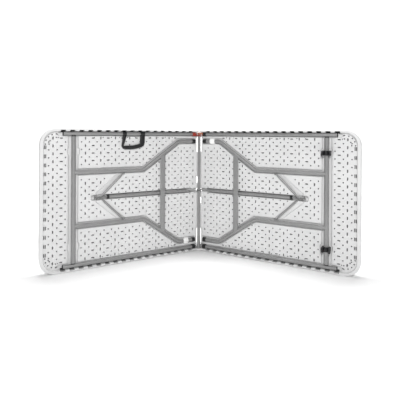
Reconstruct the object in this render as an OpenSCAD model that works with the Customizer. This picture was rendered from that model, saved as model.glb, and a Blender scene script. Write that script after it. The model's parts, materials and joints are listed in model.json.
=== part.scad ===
// Folding table, folded half open like a book and standing on one long edge.
// Both halves are the same moulding, one turned by half a turn. Legs lie folded flat.
// Row frame: +Z up, X across, undersides face -Y, origin at the bottom centre. Millimetres.
// Each half is drawn in its own frame: x runs out from the fold axis, y runs from the
// underside (0) to the working face, z is the height while it stands on its long edge.

/* [Panel] */
// length of one half, from the fold axis to the outer end
half_length = 900; // [700:1:1000]
// width of the table, which is its height while it stands on its edge
width = 740; // [600:1:800]
// thickness of a half, from skirt rim to working face
thickness = 45; // [40:1:60]
// radius of the outer corners
corner_r = 80; // [40:1:120]
// how far each half is turned back from flat
tilt = 27.6; // [0:0.1:60]
// gap left at the fold line and at the skirt rims
fold_gap = 0.5; // [0.3:0.1:2]
// width of the skirt along the long edges
skirt_w = 15; // [10:0.5:25]
// width of the skirt along the outer end
end_skirt_w = 20; // [12:0.5:30]
// depth of the dimpled floor below the skirt rim
floor_n = 20; // [15:0.5:26]
// depth of the channels moulded round the legs
channel_n = 30; // [26:0.5:33]
// depth of the channel for the strut
strut_channel_n = 36.5; // [34:0.5:39]
// half width of the channels
channel_w = 20; // [16:0.5:26]
// pitch of the ribs in the skirts
rib_pitch = 45.6; // [30:0.1:60]
// length of each pocket between two ribs
pocket_l = 25; // [15:0.5:35]
// depth of those pockets below the skirt rim
pocket_n = 38; // [24:0.5:40]
// radius of the rounded edge of the working face
edge_r = 8; // [3:0.5:12]

/* [Rails] */
// outside diameter of the side rails
rail_d = 19; // [15:0.5:25]
// wall of every steel tube
tube_wall = 1.5; // [1:0.1:2.5]
// height of the rails from the nearer long edge
rail_z = 26; // [22:0.5:32]
// depth of the rail and leg axes below the skirt rim
tube_n = 14.5; // [13:0.5:16]
// where the rails end towards the outer end
rail_end = 786; // [700:1:850]
// diameter of the tube on the fold axis
axis_d = 18; // [14:0.5:22]

/* [Legs] */
// outside diameter of the leg tubes
leg_d = 22; // [18:0.5:26]
// outside diameter of the pivot tube
pivot_d = 24; // [20:0.5:28]
// distance of the leg pivot from the fold axis
pivot_s = 736; // [650:1:800]
// half spacing of the straight part of the legs
leg_half = 141; // [100:1:200]
// half spacing of the feet
foot_half = 301; // [200:1:320]
// distance of the inner end of the spread from the fold axis
bend_foot_s = 131; // [80:1:200]
// distance of the outer end of the spread from the fold axis
bend_knee_s = 350; // [250:1:450]
// radius of the bends along the tube's middle
bend_r = 45; // [30:1:80]
// distance of the feet from the fold axis
foot_s = 22; // [18:1:60]
// distance of the cross bar from the fold axis
bar_s = 236; // [180:1:330]
// width of the flattened cross bar
bar_w = 30; // [16:0.5:36]
// thickness of the flattened cross bar
bar_t = 11; // [8:0.5:12]

/* [Struts] */
// outside diameter of the strut
strut_d = 19; // [14:0.5:20]
// depth of the strut axis below the skirt rim
strut_n = 25; // [22:0.5:26]
// where the round part of the strut ends
strut_end = 566; // [500:1:600]
// distance of the brace pivots on the legs from the fold axis
arm_s = 469; // [400:1:520]
// diameter of the brace rods
rod_d = 12; // [8:0.5:14]
// distance of the elbow from the fold axis
elbow_s = 623.6; // [560:0.1:680]
// distance of the brace apex from the fold axis
apex_s = 588; // [540:1:600]

/* [Fittings] */
// near end of the carrying handle along the rail
handle_s0 = 346; // [250:1:400]
// far end of the carrying handle along the rail
handle_s1 = 485; // [420:1:560]
// how far the handle hangs below the rail axis
handle_drop = 87; // [70:1:120]
// thickness of the handle's grip
handle_t = 13; // [10:0.5:16]
// height of the closing clips
clip_h = 25; // [15:1:40]
// distance of the closing clips from the middle of the width
clip_z = 250; // [150:1:300]
// width of the closing clips
clip_w = 46; // [36:1:50]

/* [Hidden] */
mid_z = width / 2;
top_z = width - rail_z;
hinge_y = (half_length * sin(tilt) - thickness * cos(tilt)) / 2;
leg_r = leg_d / 2;
rail_r = rail_d / 2;
pivot_r = pivot_d / 2;
axis_r = axis_d / 2;
strut_r = strut_d / 2;
rod_r = rod_d / 2;
spread_a = atan((foot_half - leg_half) / (bend_knee_s - bend_foot_s));
bend_t = bend_r * tan(spread_a / 2);
spread_l = (foot_half - leg_half) / sin(spread_a);
knuckle_r = 12.5;
knuckle_h = 11;
knuckle_lo = 27.5;
knuckle_hi = width - 26.5;
journal_r = 6;
eye_lo = 2;
eye_hi = 9;
tail_h = 2.5;
stub_lo = 4;
stub_hi = 8;
arm_lo = 123.5;
arm_hi = 127.5;
rod_a = [apex_s, 10.5];
rod_b = [arm_s + 11, 117.5];
rod_angle = atan((rod_b[1] - rod_a[1]) / (rod_a[0] - rod_b[0]));
rod_l = (rod_b[1] - rod_a[1]) / sin(rod_angle);
smooth = 48;
fine = 32;
wide = 96;

// ---------- placing ----------

module right_half() {
  translate([0, hinge_y, 0]) rotate([0, 0, -tilt]) children();
}

module left_half() {
  translate([0, hinge_y, 0]) rotate([0, 0, tilt])
    translate([0, 0, width]) rotate([0, 180, 0]) children();
}

// a flat outline in x and z, from depth n0 to depth n1
module slab(n0, n1) {
  translate([0, n1, 0]) rotate([90, 0, 0]) linear_extrude(height = n1 - n0) children();
}

// a round bar along x
module bar_x(r, s0, s1, n, z) {
  translate([s0, n, z]) rotate([0, 90, 0]) cylinder(h = s1 - s0, r = r, $fn = smooth);
}

// a round bar along z
module bar_z(r, z0, z1, s, n) {
  translate([s, n, z0]) cylinder(h = z1 - z0, r = r, $fn = smooth);
}

// a block from one corner to the other
module block(s0, s1, n0, n1, z0, z1) {
  translate([s0, n0, z0]) cube([s1 - s0, n1 - n0, z1 - z0]);
}

// ---------- panel ----------

module outline(inset, r) {
  s1 = half_length - inset;
  z0 = inset;
  z1 = width - inset;
  translate([fold_gap, z0]) square([s1 - r - fold_gap, z1 - z0]);
  translate([fold_gap, z0 + r]) square([s1 - fold_gap, z1 - z0 - 2 * r]);
  translate([s1 - r, z0 + r]) circle(r = r, $fn = wide);
  translate([s1 - r, z1 - r]) circle(r = r, $fn = wide);
}

module corner_roll(z, a) {
  translate([half_length - corner_r, thickness - edge_r, z]) rotate([90, 0, 0])
    rotate([0, 0, a]) rotate_extrude(angle = 90, $fn = wide)
      translate([corner_r - edge_r, 0]) circle(r = edge_r, $fn = fine);
}

module moulding_body() {
  flat_n = thickness - edge_r;
  union() {
    slab(fold_gap, flat_n) outline(0, corner_r);
    slab(flat_n, thickness) outline(edge_r, corner_r - edge_r);
    bar_x(edge_r, fold_gap, half_length - corner_r, flat_n, edge_r);
    bar_x(edge_r, fold_gap, half_length - corner_r, flat_n, width - edge_r);
    bar_z(edge_r, corner_r, width - corner_r, half_length - edge_r, flat_n);
    corner_roll(corner_r, -90);
    corner_roll(width - corner_r, 0);
  }
}

module recess() {
  r = corner_r - end_skirt_w;
  s1 = half_length - end_skirt_w;
  z1 = width - skirt_w;
  translate([10, skirt_w]) square([s1 - r - 10, z1 - skirt_w]);
  translate([10, skirt_w + r]) square([s1 - 10, z1 - skirt_w - 2 * r]);
  translate([s1 - r, skirt_w + r]) circle(r = r, $fn = wide);
  translate([s1 - r, z1 - r]) circle(r = r, $fn = wide);
}

module leg_channel() {
  w = channel_w;
  k = w * tan(spread_a / 2);
  z_in = mid_z + leg_half;
  z_out = mid_z + foot_half;
  polygon([
    [pivot_s, z_in - w], [pivot_s, z_in + w], [bend_knee_s + k, z_in + w],
    [bend_foot_s + k, z_out + w], [-5, z_out + w], [-5, z_out - w],
    [bend_foot_s - k, z_out - w], [bend_knee_s - k, z_in - w]
  ]);
}

module brace_channel() {
  translate([rod_b[0] - 12, mid_z + rod_b[1] + 12]) rotate([0, 0, -rod_angle])
    translate([-10, -16]) square([rod_l + 50, 32]);
}

module pockets() {
  for (i = [0 : 16]) {
    s = 57.8 + i * rib_pitch;
    block(s - pocket_l / 2, s + pocket_l / 2, 0, pocket_n, width - skirt_w - 1, width - 7);
    block(s - pocket_l / 2, s + pocket_l / 2, 0, pocket_n, 7, skirt_w + 1);
  }
  for (i = [0 : 12]) {
    z = mid_z + (i - 6) * rib_pitch;
    block(half_length - 31, half_length - 23, floor_n - 1, channel_n, z - 10, z + 10);
  }
}

module moulding() {
  difference() {
    moulding_body();
    slab(0, floor_n) recess();
    block(0, 11, 0, 12, skirt_w, width - skirt_w);
    slab(floor_n - 1, channel_n) leg_channel();
    slab(floor_n - 1, channel_n) translate([0, width]) mirror([0, 1]) leg_channel();
    slab(floor_n - 1, channel_n - 2) brace_channel();
    slab(floor_n - 1, channel_n - 2) translate([0, width]) mirror([0, 1]) brace_channel();
    block(0, elbow_s + 24, 11, strut_channel_n, mid_z - 17, mid_z + 17);
    block(pivot_s - 26, pivot_s + 26, floor_n - 1, channel_n, skirt_w, width - skirt_w);
    block(0, rail_end + 24, 11, 28, width - skirt_w - 26, width - skirt_w);
    block(0, rail_end + 24, 11, 28, skirt_w, skirt_w + 26);
    block(handle_s0 - 8, handle_s1 + 8, -1, 31, skirt_w - 3, skirt_w + 28);
    block(-1, 17, -1, 31, mid_z - 328, mid_z - 234);
    block(-1, 17, -1, 31, mid_z + 234, mid_z + 328);
    block(-1, 17, -1, 31, mid_z - 85, mid_z - 42);
    pockets();
  }
  block(-9, fold_gap + 1, 22, 29, mid_z + 45, mid_z + 82);
}

module left_panel() {
  color([0.9, 0.9, 0.89]) left_half() moulding();
}

module right_panel() {
  color([0.9, 0.9, 0.89]) right_half() moulding();
}

// ---------- rails and fold hinge ----------

module rail(z, side) {
  difference() {
    bar_x(rail_r, 24, rail_end, tube_n, z);
    bar_x(rail_r - tube_wall, 23, rail_end + 1, tube_n, z);
    bar_z(journal_r + 0.1, min(z, z + side * 20), max(z, z + side * 20), pivot_s, tube_n);
  }
}

module left_upper_rail() {
  color([0.55, 0.55, 0.56]) left_half() rail(rail_z, 1);
}

module left_lower_rail() {
  color([0.55, 0.55, 0.56]) left_half() rail(top_z, -1);
}

module right_upper_rail() {
  color([0.55, 0.55, 0.56]) right_half() rail(top_z, -1);
}

module right_lower_rail() {
  color([0.55, 0.55, 0.56]) right_half() rail(rail_z, 1);
}

module rail_cap(z) {
  difference() {
    union() {
      bar_x(rail_r + 1.5, rail_end + 0.1, rail_end + 5, tube_n, z);
      bar_x(rail_r - tube_wall - 0.1, rail_end - 14, rail_end + 4, tube_n, z);
    }
    bar_x(rail_r - tube_wall - 2, rail_end - 15, rail_end + 2, tube_n, z);
  }
}

module rail_caps() {
  rail_cap(rail_z);
  rail_cap(top_z);
}

module left_rail_caps() {
  color([0.06, 0.06, 0.06]) left_half() rail_caps();
}

module right_rail_caps() {
  color([0.06, 0.06, 0.06]) right_half() rail_caps();
}

module centre_tube() {
  color([0.55, 0.55, 0.56]) translate([0, hinge_y, 0]) difference() {
    translate([0, 0, 18.5]) cylinder(h = width - 37, r = axis_r, $fn = smooth);
    translate([0, 0, 17]) cylinder(h = width - 34, r = axis_r - tube_wall, $fn = smooth);
  }
}

module centre_cap() {
  cylinder(h = 2.9, r = axis_r, $fn = smooth);
  translate([0, 0, -12]) cylinder(h = 13, r = axis_r - tube_wall - 0.1, $fn = smooth);
}

module centre_tube_caps() {
  color([0.72, 0.2, 0.1]) {
    translate([0, hinge_y, width - 18.4]) centre_cap();
    translate([0, hinge_y, 18.4]) mirror([0, 0, 1]) centre_cap();
  }
}

module strut_washer() {
  color([0.06, 0.06, 0.06]) translate([0, hinge_y, mid_z - 1.5]) difference() {
    cylinder(h = 3, r = 13, $fn = smooth);
    translate([0, 0, -1]) cylinder(h = 5, r = axis_r + 0.1, $fn = smooth);
  }
}

// a knuckle round the fold tube, with a plug that goes into the rail
module knuckle(z0, z_rail, bore) {
  difference() {
    union() {
      bar_z(knuckle_r, z0, z0 + knuckle_h, 0, 0);
      translate([0, 0, z0]) rotate([0, 0, 37]) translate([10, -5, 0])
        cube([12, 10, knuckle_h]);
      block(12, 21.5, 6, 22, min(z0, z_rail - 7), max(z0 + knuckle_h, z_rail + 7));
      bar_x(rail_r - tube_wall - 0.1, 20, 52, tube_n, z_rail);
    }
    bar_z(bore, z0 - 1, z0 + knuckle_h + 1, 0, 0);
  }
}

module lock_knuckle() {
  color([0.75, 0.16, 0.08]) left_half() knuckle(knuckle_lo, rail_z, axis_r + 0.05);
}

module left_lower_knuckle() {
  color([0.5, 0.5, 0.51]) left_half() knuckle(knuckle_hi, top_z, axis_r + 0.05);
}

module right_knuckles() {
  color([0.5, 0.5, 0.51]) right_half() {
    knuckle(knuckle_hi, top_z, axis_r + 0.1);
    knuckle(knuckle_lo, rail_z, axis_r + 0.1);
  }
}

module end_sleeve(z) {
  difference() {
    block(22, 42, 2, 27.4, z - 12.5, z + 10.5);
    bar_x(rail_r + 0.1, 21, 43, tube_n, z);
  }
}

module left_end_sleeve() {
  color([0.06, 0.06, 0.06]) left_half() end_sleeve(top_z);
}

module right_end_sleeves() {
  color([0.06, 0.06, 0.06]) right_half() {
    end_sleeve(top_z);
    translate([0, 0, width]) mirror([0, 0, 1]) end_sleeve(top_z);
  }
}

module lock_button() {
  color([0.7, 0.1, 0.07]) left_half() translate([0, 0, width]) mirror([0, 0, 1])
    end_sleeve(top_z);
}

// ---------- legs ----------

module pivot_tube() {
  z0 = rail_z + rail_r + 5;
  z1 = width - z0;
  difference() {
    bar_z(pivot_r, z0, z1, pivot_s, tube_n);
    bar_z(pivot_r - tube_wall, z0 + 6, z1 - 6, pivot_s, tube_n);
  }
  bar_z(journal_r, rail_z + 1, z0 + 1, pivot_s, tube_n);
  bar_z(journal_r, z1 - 1, top_z - 1, pivot_s, tube_n);
}

module left_pivot_tube() {
  color([0.5, 0.5, 0.51]) left_half() pivot_tube();
}

module right_pivot_tube() {
  color([0.5, 0.5, 0.51]) right_half() pivot_tube();
}

module bush(z0) {
  difference() {
    bar_z(11, z0, z0 + 3.6, pivot_s, tube_n);
    bar_z(journal_r + 0.1, z0 - 1, z0 + 5, pivot_s, tube_n);
  }
}

module bushes() {
  bush(rail_z + rail_r + 0.7);
  bush(top_z - rail_r - 4.3);
}

module left_pivot_bushes() {
  color([0.06, 0.06, 0.06]) left_half() bushes();
}

module right_pivot_bushes() {
  color([0.06, 0.06, 0.06]) right_half() bushes();
}

module ring(r, w) {
  difference() {
    circle(r = r, $fn = fine);
    circle(r = r - w, $fn = fine);
  }
}

module pipe(r, h) {
  linear_extrude(height = h) ring(r, tube_wall);
}

// a bend in the x and z plane, from angle a0 over angle a
module bend(r, s, z, a0, a) {
  translate([s, tube_n, z]) rotate([90, 0, 0]) rotate([0, 0, a0 - 0.3])
    rotate_extrude(angle = a + 0.6, $fn = wide) translate([bend_r, 0])
      ring(r - 0.05, tube_wall - 0.1);
}

// one leg tube: pivot end, knee, spread, second bend and foot end
module leg_tube() {
  a = spread_a;
  t = bend_t;
  z_in = mid_z + leg_half;
  z_out = mid_z + foot_half;
  difference() {
    translate([bend_knee_s + t, tube_n, z_in]) rotate([0, 90, 0])
      pipe(leg_r, pivot_s - bend_knee_s - t);
    bar_z(pivot_r + 0.1, z_in - 20, z_in + 20, pivot_s, tube_n);
    bar_z(3.1, mid_z + arm_hi, z_in, arm_s, tube_n);
  }
  bend(leg_r, bend_knee_s + t, z_in + bend_r, -90 - a, a);
  translate([bend_foot_s + t * cos(a), tube_n, z_out - t * sin(a)])
    rotate([0, 90 + a, 0]) pipe(leg_r, spread_l - 2 * t);
  bend(leg_r, bend_foot_s - t, z_out - bend_r, 90 - a, a);
  translate([foot_s + 3, tube_n, z_out]) rotate([0, 90, 0])
    pipe(leg_r, bend_foot_s - t - foot_s - 3);
}

module leg_tube_far() {
  translate([0, 0, width]) mirror([0, 0, 1]) leg_tube();
}

module left_leg_upper() {
  color([0.52, 0.52, 0.53]) left_half() leg_tube_far();
}

module left_leg_lower() {
  color([0.52, 0.52, 0.53]) left_half() leg_tube();
}

module right_leg_upper() {
  color([0.52, 0.52, 0.53]) right_half() leg_tube();
}

module right_leg_lower() {
  color([0.52, 0.52, 0.53]) right_half() leg_tube_far();
}

// an oval bar across both legs, coped where it meets them
module cross_bar() {
  c = bar_w / 2 - bar_t / 2;
  n = 3.5 + bar_t / 2;
  reach = foot_half - (bar_s - bend_foot_s) * tan(spread_a);
  difference() {
    union() {
      block(bar_s - c, bar_s + c, n - bar_t / 2, n + bar_t / 2, mid_z - reach, mid_z + reach);
      bar_z(bar_t / 2, mid_z - reach, mid_z + reach, bar_s - c, n);
      bar_z(bar_t / 2, mid_z - reach, mid_z + reach, bar_s + c, n);
    }
    bar_cope();
    translate([0, 0, width]) mirror([0, 0, 1]) bar_cope();
  }
}

module bar_cope() {
  translate([bend_foot_s, tube_n, mid_z + foot_half]) rotate([0, 90 + spread_a, 0])
    cylinder(h = spread_l, r = leg_r + 0.1, $fn = smooth);
  translate([bend_foot_s, 0, mid_z + foot_half]) rotate([0, spread_a, 0])
    translate([-50, 0, 0]) cube([spread_l + 100, 40, 60]);
}

module left_cross_bar() {
  color([0.55, 0.55, 0.56]) left_half() cross_bar();
}

module right_cross_bar() {
  color([0.55, 0.55, 0.56]) right_half() cross_bar();
}

module foot_cap(z) {
  difference() {
    union() {
      bar_x(13, foot_s, foot_s + 26, tube_n, z);
      bar_x(12, foot_s + 25, foot_s + 28, tube_n, z);
    }
    bar_x(leg_r + 0.05, foot_s + 3, foot_s + 30, tube_n, z);
  }
}

module foot_caps() {
  foot_cap(mid_z + foot_half);
  foot_cap(mid_z - foot_half);
}

module left_foot_caps() {
  color([0.06, 0.06, 0.06]) left_half() foot_caps();
}

module right_foot_caps() {
  color([0.06, 0.06, 0.06]) right_half() foot_caps();
}

// a white sleeve that rides on one leg and presses into the channel
module leg_sleeve() {
  z = mid_z + foot_half;
  difference() {
    union() {
      bar_x(13.5, 68, 100, tube_n, z);
      block(70, 98, 4, 25, z - 18, z + 18);
    }
    bar_x(leg_r + 0.05, 67, 101, tube_n, z);
  }
}

module left_leg_sleeve() {
  color([0.93, 0.93, 0.92]) left_half() leg_sleeve();
}

module right_leg_sleeve() {
  color([0.93, 0.93, 0.92]) right_half() leg_sleeve();
}

// ---------- struts ----------

module strut() {
  difference() {
    union() {
      bar_x(strut_r, 50, strut_end, strut_n, mid_z);
      translate([0, 0, mid_z + eye_lo]) {
        cylinder(h = eye_hi - eye_lo, r = 13, $fn = smooth);
        rotate([0, 0, 28]) translate([9.3, -8.5, 0]) cube([44, 17, eye_hi - eye_lo]);
        translate([44, strut_n - 9, 0]) cube([22, 18, eye_hi - eye_lo]);
      }
      translate([strut_end - 6, strut_n - 8, mid_z - tail_h]) cube([12, 16, 2 * tail_h]);
      translate([elbow_s, tube_n, mid_z - tail_h]) rotate([0, 0, 169])
        translate([0, -7, 0]) cube([62, 14, 2 * tail_h]);
      translate([elbow_s, tube_n, mid_z - 3]) cylinder(h = 6, r = 9, $fn = smooth);
    }
    bar_z(axis_r + 0.1, mid_z + eye_lo - 1, mid_z + eye_hi + 1, 0, 0);
    bar_x(strut_r - tube_wall, 66, strut_end - 14, strut_n, mid_z);
  }
}

module left_strut() {
  color([0.52, 0.52, 0.53]) left_half() strut();
}

module right_strut() {
  color([0.52, 0.52, 0.53]) right_half() strut();
}

module lock_ring() {
  difference() {
    bar_x(10.9, 547, 560, strut_n, mid_z);
    bar_x(strut_r + 0.1, 546, 561, strut_n, mid_z);
  }
}

module left_lock_ring() {
  color([0.06, 0.06, 0.06]) left_half() lock_ring();
}

module right_lock_ring() {
  color([0.06, 0.06, 0.06]) right_half() lock_ring();
}

// one arm of the brace: stub beside the strut's tail, rod, and eye inside the leg
module brace_arm() {
  lo = mid_z + stub_lo + 0.5;
  difference() {
    union() {
      block(apex_s - 6, elbow_s, tube_n - 5.5, tube_n + 5.5, lo, mid_z + stub_hi);
      bar_z(8, lo, mid_z + stub_hi, elbow_s, tube_n);
      block(apex_s - 8, apex_s + 5, tube_n - 4.5, tube_n + 4.5, lo + 1, mid_z + 14);
      translate([rod_a[0], tube_n, mid_z + rod_a[1]]) rotate([0, -90 + rod_angle, 0])
        cylinder(h = rod_l, r = rod_r, $fn = smooth);
      block(arm_s + 6.5, rod_b[0] + 6, tube_n - 4.5, tube_n + 4.5,
        mid_z + arm_lo - 9, mid_z + arm_hi - 0.5);
      bar_z(8, mid_z + arm_lo, mid_z + arm_hi, arm_s, tube_n);
    }
    bar_z(3.1, mid_z + arm_lo - 10, mid_z + arm_hi + 1, arm_s, tube_n);
  }
}

module brace_arm_far() {
  translate([0, 0, width]) mirror([0, 0, 1]) brace_arm();
}

module left_brace_upper() {
  color([0.58, 0.58, 0.59]) left_half() brace_arm_far();
}

module left_brace_lower() {
  color([0.58, 0.58, 0.59]) left_half() brace_arm();
}

module right_brace_upper() {
  color([0.58, 0.58, 0.59]) right_half() brace_arm();
}

module right_brace_lower() {
  color([0.58, 0.58, 0.59]) right_half() brace_arm_far();
}

module elbow_heads() {
  bar_z(5.5, mid_z + stub_hi + 0.05, mid_z + stub_hi + 2.5, elbow_s, tube_n);
  bar_z(5.5, mid_z - stub_hi - 2.5, mid_z - stub_hi - 0.05, elbow_s, tube_n);
}

module left_elbow_heads() {
  color([0.45, 0.45, 0.46]) left_half() elbow_heads();
}

module right_elbow_heads() {
  color([0.45, 0.45, 0.46]) right_half() elbow_heads();
}

module brace_rivet() {
  bar_z(6, mid_z + arm_lo - 2.1, mid_z + arm_lo - 0.1, arm_s, tube_n);
  bar_z(3, mid_z + arm_lo - 1, mid_z + leg_half - 3, arm_s, tube_n);
}

module brace_rivets() {
  brace_rivet();
  translate([0, 0, width]) mirror([0, 0, 1]) brace_rivet();
}

module left_brace_rivets() {
  color([0.45, 0.45, 0.46]) left_half() brace_rivets();
}

module right_brace_rivets() {
  color([0.45, 0.45, 0.46]) right_half() brace_rivets();
}

// ---------- handle and clips ----------

// drawn in the turned frame of the left half, so that it hangs from the upper rail
module handle_shape() {
  n0 = tube_n - handle_t / 2 - 2;
  n1 = n0 + handle_t;
  difference() {
    union() {
      slab(n0, n1) handle_loop(rail_z + handle_drop, rail_z + 4);
      bar_x(12.8, handle_s0 + 2, handle_s0 + 29, tube_n, rail_z);
      bar_x(12.8, handle_s1 - 30, handle_s1 - 8, tube_n, rail_z);
    }
    bar_x(rail_r + 0.3, handle_s0 - 10, handle_s1 + 10, tube_n, rail_z);
  }
}

// the grip hangs a little lower towards its outer end
module handle_loop(z1, z0) {
  a = handle_s0;
  b = handle_s1;
  polygon([
    [b - 8, z0], [b - 1, z1 - 18], [b - 6, z1 - 6], [b - 25, z1 - 0.5], [b - 65, z1],
    [a + 39, z1 - 7], [a + 7, z1 - 14], [a + 1, z1 - 25], [a + 2, z0], [a + 29, z0],
    [a + 31, z1 - 37], [a + 40, z1 - 30], [b - 65, z1 - 22], [b - 25, z1 - 23],
    [b - 12, z1 - 29], [b - 30, z0]
  ]);
}

module handle() {
  color([0.05, 0.05, 0.05]) left_half() handle_shape();
}

module clip(z) {
  difference() {
    block(pivot_s - clip_w / 2, pivot_s + clip_w / 2, -23, 24, z - clip_h / 2, z + clip_h / 2);
    bar_z(pivot_r + 0.3, z - clip_h, z + clip_h, pivot_s, tube_n);
    bar_z(pivot_r + 0.4, z - clip_h, z + clip_h, pivot_s, -tube_n);
    block(pivot_s - 12.4, pivot_s + 12.4, -40, -tube_n, z - clip_h, z + clip_h);
    block(pivot_s - 10.5, pivot_s + 10.5, tube_n, 40, z - clip_h, z + clip_h);
  }
}

module closing_clips() {
  color([0.05, 0.05, 0.05]) right_half() {
    clip(mid_z + clip_z);
    clip(mid_z - clip_z);
  }
}

left_panel();
right_panel();
left_upper_rail();
left_lower_rail();
right_upper_rail();
right_lower_rail();
left_rail_caps();
right_rail_caps();
centre_tube();
centre_tube_caps();
strut_washer();
lock_knuckle();
left_lower_knuckle();
right_knuckles();
left_end_sleeve();
right_end_sleeves();
lock_button();
left_pivot_tube();
right_pivot_tube();
left_pivot_bushes();
right_pivot_bushes();
left_leg_upper();
left_leg_lower();
right_leg_upper();
right_leg_lower();
left_cross_bar();
right_cross_bar();
left_foot_caps();
right_foot_caps();
left_leg_sleeve();
right_leg_sleeve();
left_strut();
right_strut();
left_lock_ring();
right_lock_ring();
left_brace_upper();
left_brace_lower();
right_brace_upper();
right_brace_lower();
left_elbow_heads();
right_elbow_heads();
left_brace_rivets();
right_brace_rivets();
handle();
closing_clips();
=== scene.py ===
"""Looks for a folding table that stands half open on its long edge.

Each half is drawn in its own frame, as in the CAD: s runs out from the fold axis, n runs from
the underside (0) to the working face, and z is the height of the right half. The left half is
the same moulding turned by half a turn.
"""

import json
import math

import bmesh
import bpy
import numpy as np
from mathutils import Matrix, Vector
from mathutils.geometry import delaunay_2d_cdt


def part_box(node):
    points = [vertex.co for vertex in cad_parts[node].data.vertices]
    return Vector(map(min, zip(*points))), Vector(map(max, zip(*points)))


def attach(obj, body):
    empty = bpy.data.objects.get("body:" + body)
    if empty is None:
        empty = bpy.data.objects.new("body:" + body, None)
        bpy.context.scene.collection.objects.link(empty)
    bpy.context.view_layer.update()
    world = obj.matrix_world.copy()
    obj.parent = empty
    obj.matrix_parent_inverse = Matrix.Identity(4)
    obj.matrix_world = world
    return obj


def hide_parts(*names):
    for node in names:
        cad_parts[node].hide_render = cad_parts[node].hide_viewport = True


MM = 0.001

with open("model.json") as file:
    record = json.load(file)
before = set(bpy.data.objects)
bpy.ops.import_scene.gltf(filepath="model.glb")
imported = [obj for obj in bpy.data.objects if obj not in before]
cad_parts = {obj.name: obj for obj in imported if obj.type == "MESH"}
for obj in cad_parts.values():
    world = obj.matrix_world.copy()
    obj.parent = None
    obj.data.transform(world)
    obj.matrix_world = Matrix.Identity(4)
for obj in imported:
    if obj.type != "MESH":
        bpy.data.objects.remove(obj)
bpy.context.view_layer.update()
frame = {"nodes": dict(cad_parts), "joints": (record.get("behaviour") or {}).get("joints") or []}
nodes = frame["nodes"]

# ---------- the two halves' frames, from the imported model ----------

tube_lo, tube_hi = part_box("centre_tube")
HINGE_Y = (tube_lo.y + tube_hi.y) / 2
panel_lo, panel_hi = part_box("right_panel")
WIDTH = panel_hi.z - panel_lo.z
fold = next(j for j in frame["joints"] if j["name"] == "fold_hinge")
TILT = math.radians(fold["range_deg"][1]) / 2

RIGHT = Matrix.Translation((0, HINGE_Y, 0)) @ Matrix.Rotation(-TILT, 4, "Z")
LEFT = (
    Matrix.Translation((0, HINGE_Y, 0))
    @ Matrix.Rotation(TILT, 4, "Z")
    @ Matrix.Translation((0, 0, WIDTH))
    @ Matrix.Rotation(math.pi, 4, "Y")
)
HALVES = {"left": LEFT, "right": RIGHT}

# driving sizes, in millimetres
W = WIDTH / MM
MID = W / 2
L = 900.0
T = 45.0
GAP = 0.5
CORNER_R = 80.0
SKIRT = 15.0
WALL = 2.0
END_SKIRT = 20.0
FLOOR_N = 20.0
LEG_N = 28.0
BRACE_N = 28.0
STRUT_N = 36.5
LIP_N = 12.0
POCKET_N = 38.0
SLOT_N = 28.0
EDGE_R = 8.0
RIM_R = 4.5
RIB_PITCH = 45.6
TUBE_N = 14.5
STRUT_LINE = 25.0
RAIL_Z = 26.0
PIVOT_S = 736.0
LEG_HALF = 141.0
FOOT_HALF = 301.0
BEND_FOOT_S = 131.0
BEND_KNEE_S = 350.0
CHANNEL_W = 20.0
ARM_S = 469.0
APEX_S = 588.0
ELBOW_S = 623.6
HANDLE_S = (346.0, 485.0)
CLIP_HALF = 250.0
BAR_S = 236.0

# the dimples of the floor: a grid of slots and dots, and dots beside the bar and the ribs
GRID = 40.2
GRID_Z = 40.0
GRID_LINE = 514.0
SLOT_DIMPLE = (16.5, 7.0)
DOT = 8.0
BAR_DOT = 9.0
RIB_DOT = 6.5
DIMPLE_DEEP = 9.0
BAR_DOT_DEEP = 12.0
HOLE_AT = (595.0, 132.0)
# pits and pockets whose floor lies deeper than this take the full painted shade; shallower ones take
# 0.8 of it
FULL_SHADE_FLOOR_N = FLOOR_N + 10.5

# pockets in the skirts and slots at the outer end
FIRST_RIB = 57.8
RIB_COUNT = 17
POCKET_HALF = 12.5
POCKET_EDGE = 6.5
END_SLOT_ROWS = (10.5, 3.5)
END_SLOT_HALF = (2.6, 10.0)

# the rails' channels, the notches of the fold side and the tongue that enters one of them
RAIL_CHANNEL = (814.0, 41.0)
NOTCH_S = (-12.0, 17.0)
NOTCH_N = 31.0
TONGUE_Z = (45.0, 82.0)
TONGUE_FIT = 3.0

# the small parts
RAIL_END = 786.0
FOOT_END = 22.0
SLEEVE_S = (22.1, 41.9)
LEG_SLEEVE_S = 84.0
LOCK_RING_S = 553.5
STRUT_R = 9.45
LOW_KNUCKLE_Z = 27.5
HIGH_KNUCKLE_Z = W - 26.5

SMOOTH_BELOW = math.radians(35)

# ---------- outlines in the plane of a half ----------


def rounded(points, radius, steps=5):
    """A polygon with its corners rounded, each as far as its edges allow."""
    out = []
    count = len(points)
    for i in range(count):
        p = np.array(points[i], float)
        a = np.array(points[i - 1], float) - p
        b = np.array(points[(i + 1) % count], float) - p
        la, lb = np.linalg.norm(a), np.linalg.norm(b)
        a, b = a / la, b / lb
        half = math.acos(max(-1.0, min(1.0, float(a @ b)))) / 2
        if half > math.pi / 2 - 0.02 or radius <= 0:
            out.append(tuple(p))
            continue
        t = min(radius / math.tan(half), 0.45 * la, 0.45 * lb)
        r = t * math.tan(half)
        mid = (a + b) / np.linalg.norm(a + b)
        centre = p + mid * (r / math.sin(half))
        v0, v1 = p + a * t - centre, p + b * t - centre
        ang0, ang1 = math.atan2(v0[1], v0[0]), math.atan2(v1[1], v1[0])
        turn = (ang1 - ang0 + math.pi) % (2 * math.pi) - math.pi
        for k in range(steps + 1):
            ang = ang0 + turn * k / steps
            out.append((centre[0] + r * math.cos(ang), centre[1] + r * math.sin(ang)))
    return out


def area(points):
    p = np.array(points)
    q = np.roll(p, -1, 0)
    return float((p[:, 0] * q[:, 1] - q[:, 0] * p[:, 1]).sum()) / 2


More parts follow.
